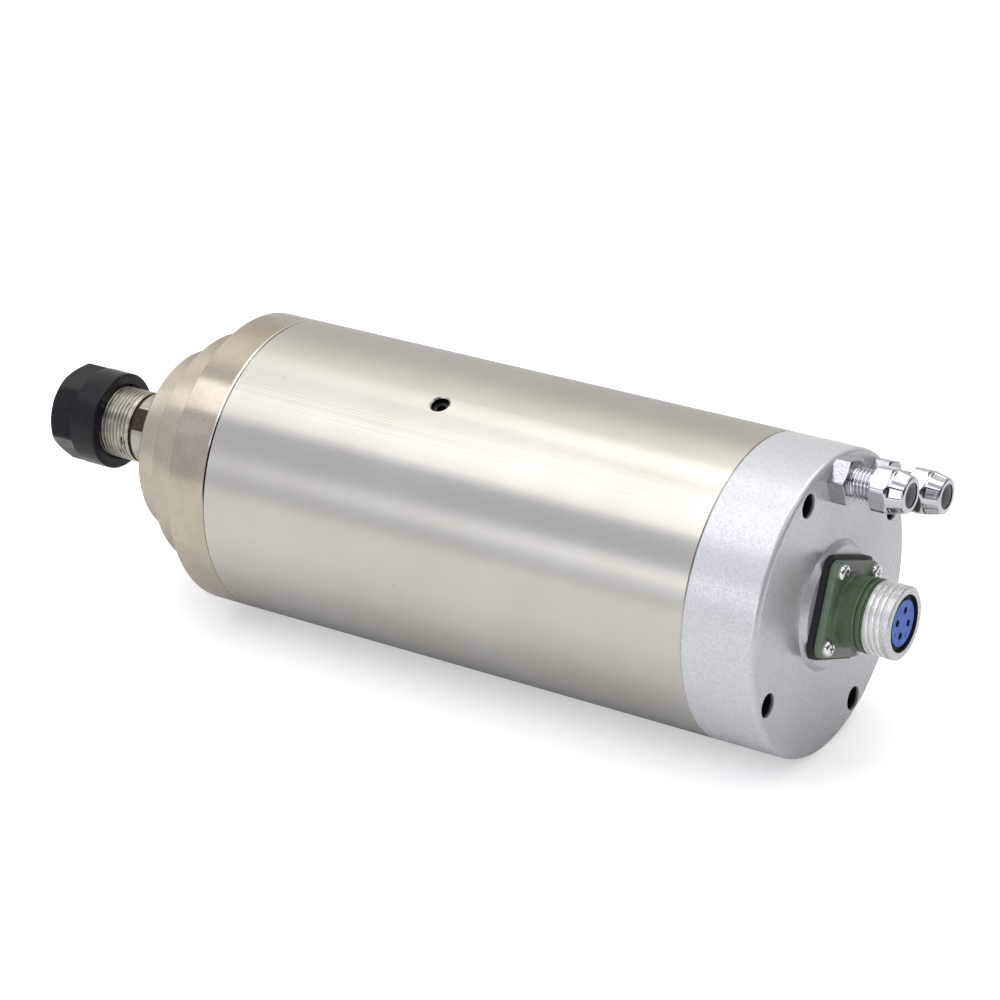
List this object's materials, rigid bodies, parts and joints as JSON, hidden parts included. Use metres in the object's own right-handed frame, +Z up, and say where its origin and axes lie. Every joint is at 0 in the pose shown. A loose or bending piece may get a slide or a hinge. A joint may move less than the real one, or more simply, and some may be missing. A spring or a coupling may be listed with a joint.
{
  "type": "motor spindle",
  "caption": "Round water cooled motor spindle with a stepped nose, collet nut on a threaded shaft, ground sleeve, and a rear cover with a round connector and two hose fittings.",
  "frame": {"origin": "on the spindle axis, where the front flange meets the sleeve", "axes": "X along the spindle axis with the nose towards -X and the connector towards +X, +Z up from the surface that the round body lies on; the rear cover's own up leans 20.8 degrees from +Z towards +Y"},
  "size_m": [0.3254, 0.1, 0.1],
  "materials": {
    "ground_steel": "ground and brushed along its turning",
    "nickel_steel": "turned, satin nickel",
    "silver_casting": "silver paint on a casting",
    "shaft_steel": "ground steel",
    "black_oxide": "black oxide",
    "collet_steel": "ground steel",
    "screw_steel": "zinc plated",
    "bright_screws": "bright nickel",
    "chrome_fitting": "bright chrome",
    "green_shell": "olive green enamel on aluminium",
    "blue_insert": "moulded insulator",
    "black_liner": "moulded",
    "contact_brass": "plated",
    "gasket_rubber": "moulded",
    "bearing_steel": "ground",
    "cage_resin": "moulded",
    "core_steel": "stacked sheet",
    "winding_copper": "enamelled wire",
    "lead_insulation": "extruded insulation",
    "jacket_aluminium": "turned"
  },
  "bodies": {
    "housing": {"front_housing": "nickel_steel", "bearing_cap": "nickel_steel", "cap_screws": "screw_steel", "front_screws": "screw_steel", "sleeve": "ground_steel", "water_jacket": "jacket_aluminium", "front_seal_ring": "gasket_rubber", "rear_seal_ring": "gasket_rubber", "stator_core": "core_steel", "stator_winding": "winding_copper", "front_bearing_outer_rings": "bearing_steel", "rear_bearing_outer_ring": "bearing_steel", "preload_spring": "bearing_steel", "rear_bearing_plate": "jacket_aluminium", "rear_cover": "silver_casting", "cover_screws": "screw_steel", "stator_set_screw": "screw_steel", "connector_gasket": "gasket_rubber", "connector_shell": "green_shell", "connector_insert": "blue_insert", "connector_liner": "black_liner", "connector_contacts": "contact_brass", "connector_screws": "bright_screws", "motor_leads": "lead_insulation", "inlet_fitting": "chrome_fitting", "outlet_fitting": "chrome_fitting"},
    "rotor": {"shaft": "shaft_steel", "rotor_core": "core_steel", "rotor_cage": "jacket_aluminium", "front_bearing_inner_rings": "bearing_steel", "rear_bearing_inner_ring": "bearing_steel", "bearing_locknut": "bearing_steel", "shaft_circlip": "bearing_steel"},
    "front_cages": {"front_bearing_cages": "cage_resin", "front_bearing_balls": "bearing_steel"},
    "rear_cage": {"rear_bearing_cage": "cage_resin", "rear_bearing_balls": "bearing_steel"},
    "collet": {"collet": "collet_steel"},
    "collet_nut": {"collet_nut": "black_oxide"},
    "inlet_hose_nut": {"inlet_hose_nut": "chrome_fitting"},
    "outlet_hose_nut": {"outlet_hose_nut": "chrome_fitting"}
  },
  "joints": [
    {"name": "spindle_spin", "type": "hinge", "parent": "housing", "child": "rotor", "pos_m": [0, 0, 0], "axis": [1, 0, 0], "continuous": true},
    {"name": "front_cage_spin", "type": "hinge", "parent": "housing", "child": "front_cages", "pos_m": [-0.0154, 0, 0], "axis": [1, 0, 0], "continuous": true},
    {"name": "rear_cage_spin", "type": "hinge", "parent": "housing", "child": "rear_cage", "pos_m": [0.167, 0, 0], "axis": [1, 0, 0], "continuous": true},
    {"name": "collet_draw", "type": "slide", "parent": "rotor", "child": "collet", "axis": [-1, 0, 0], "range_m": [0, 0.01425]},
    {"name": "nut_turn", "type": "hinge", "parent": "collet", "child": "collet_nut", "pos_m": [-0.0828, 0, 0], "axis": [-1, 0, 0], "range_deg": [0, 3420]},
    {"name": "inlet_nut_travel", "type": "slide", "parent": "housing", "child": "inlet_hose_nut", "axis": [1, 0, 0], "range_m": [-0.0038, 0.012]},
    {"name": "outlet_nut_travel", "type": "slide", "parent": "housing", "child": "outlet_hose_nut", "axis": [1, 0, 0], "range_m": [-0.0038, 0.012]}
  ],
  "couplings": [
    {"joint": "front_cage_spin", "follows": "spindle_spin", "ratio": 0.41667},
    {"joint": "rear_cage_spin", "follows": "spindle_spin", "ratio": 0.39677},
    {"joint": "nut_turn", "follows": "collet_draw", "rad_per_m": 4188.8}
  ]
}
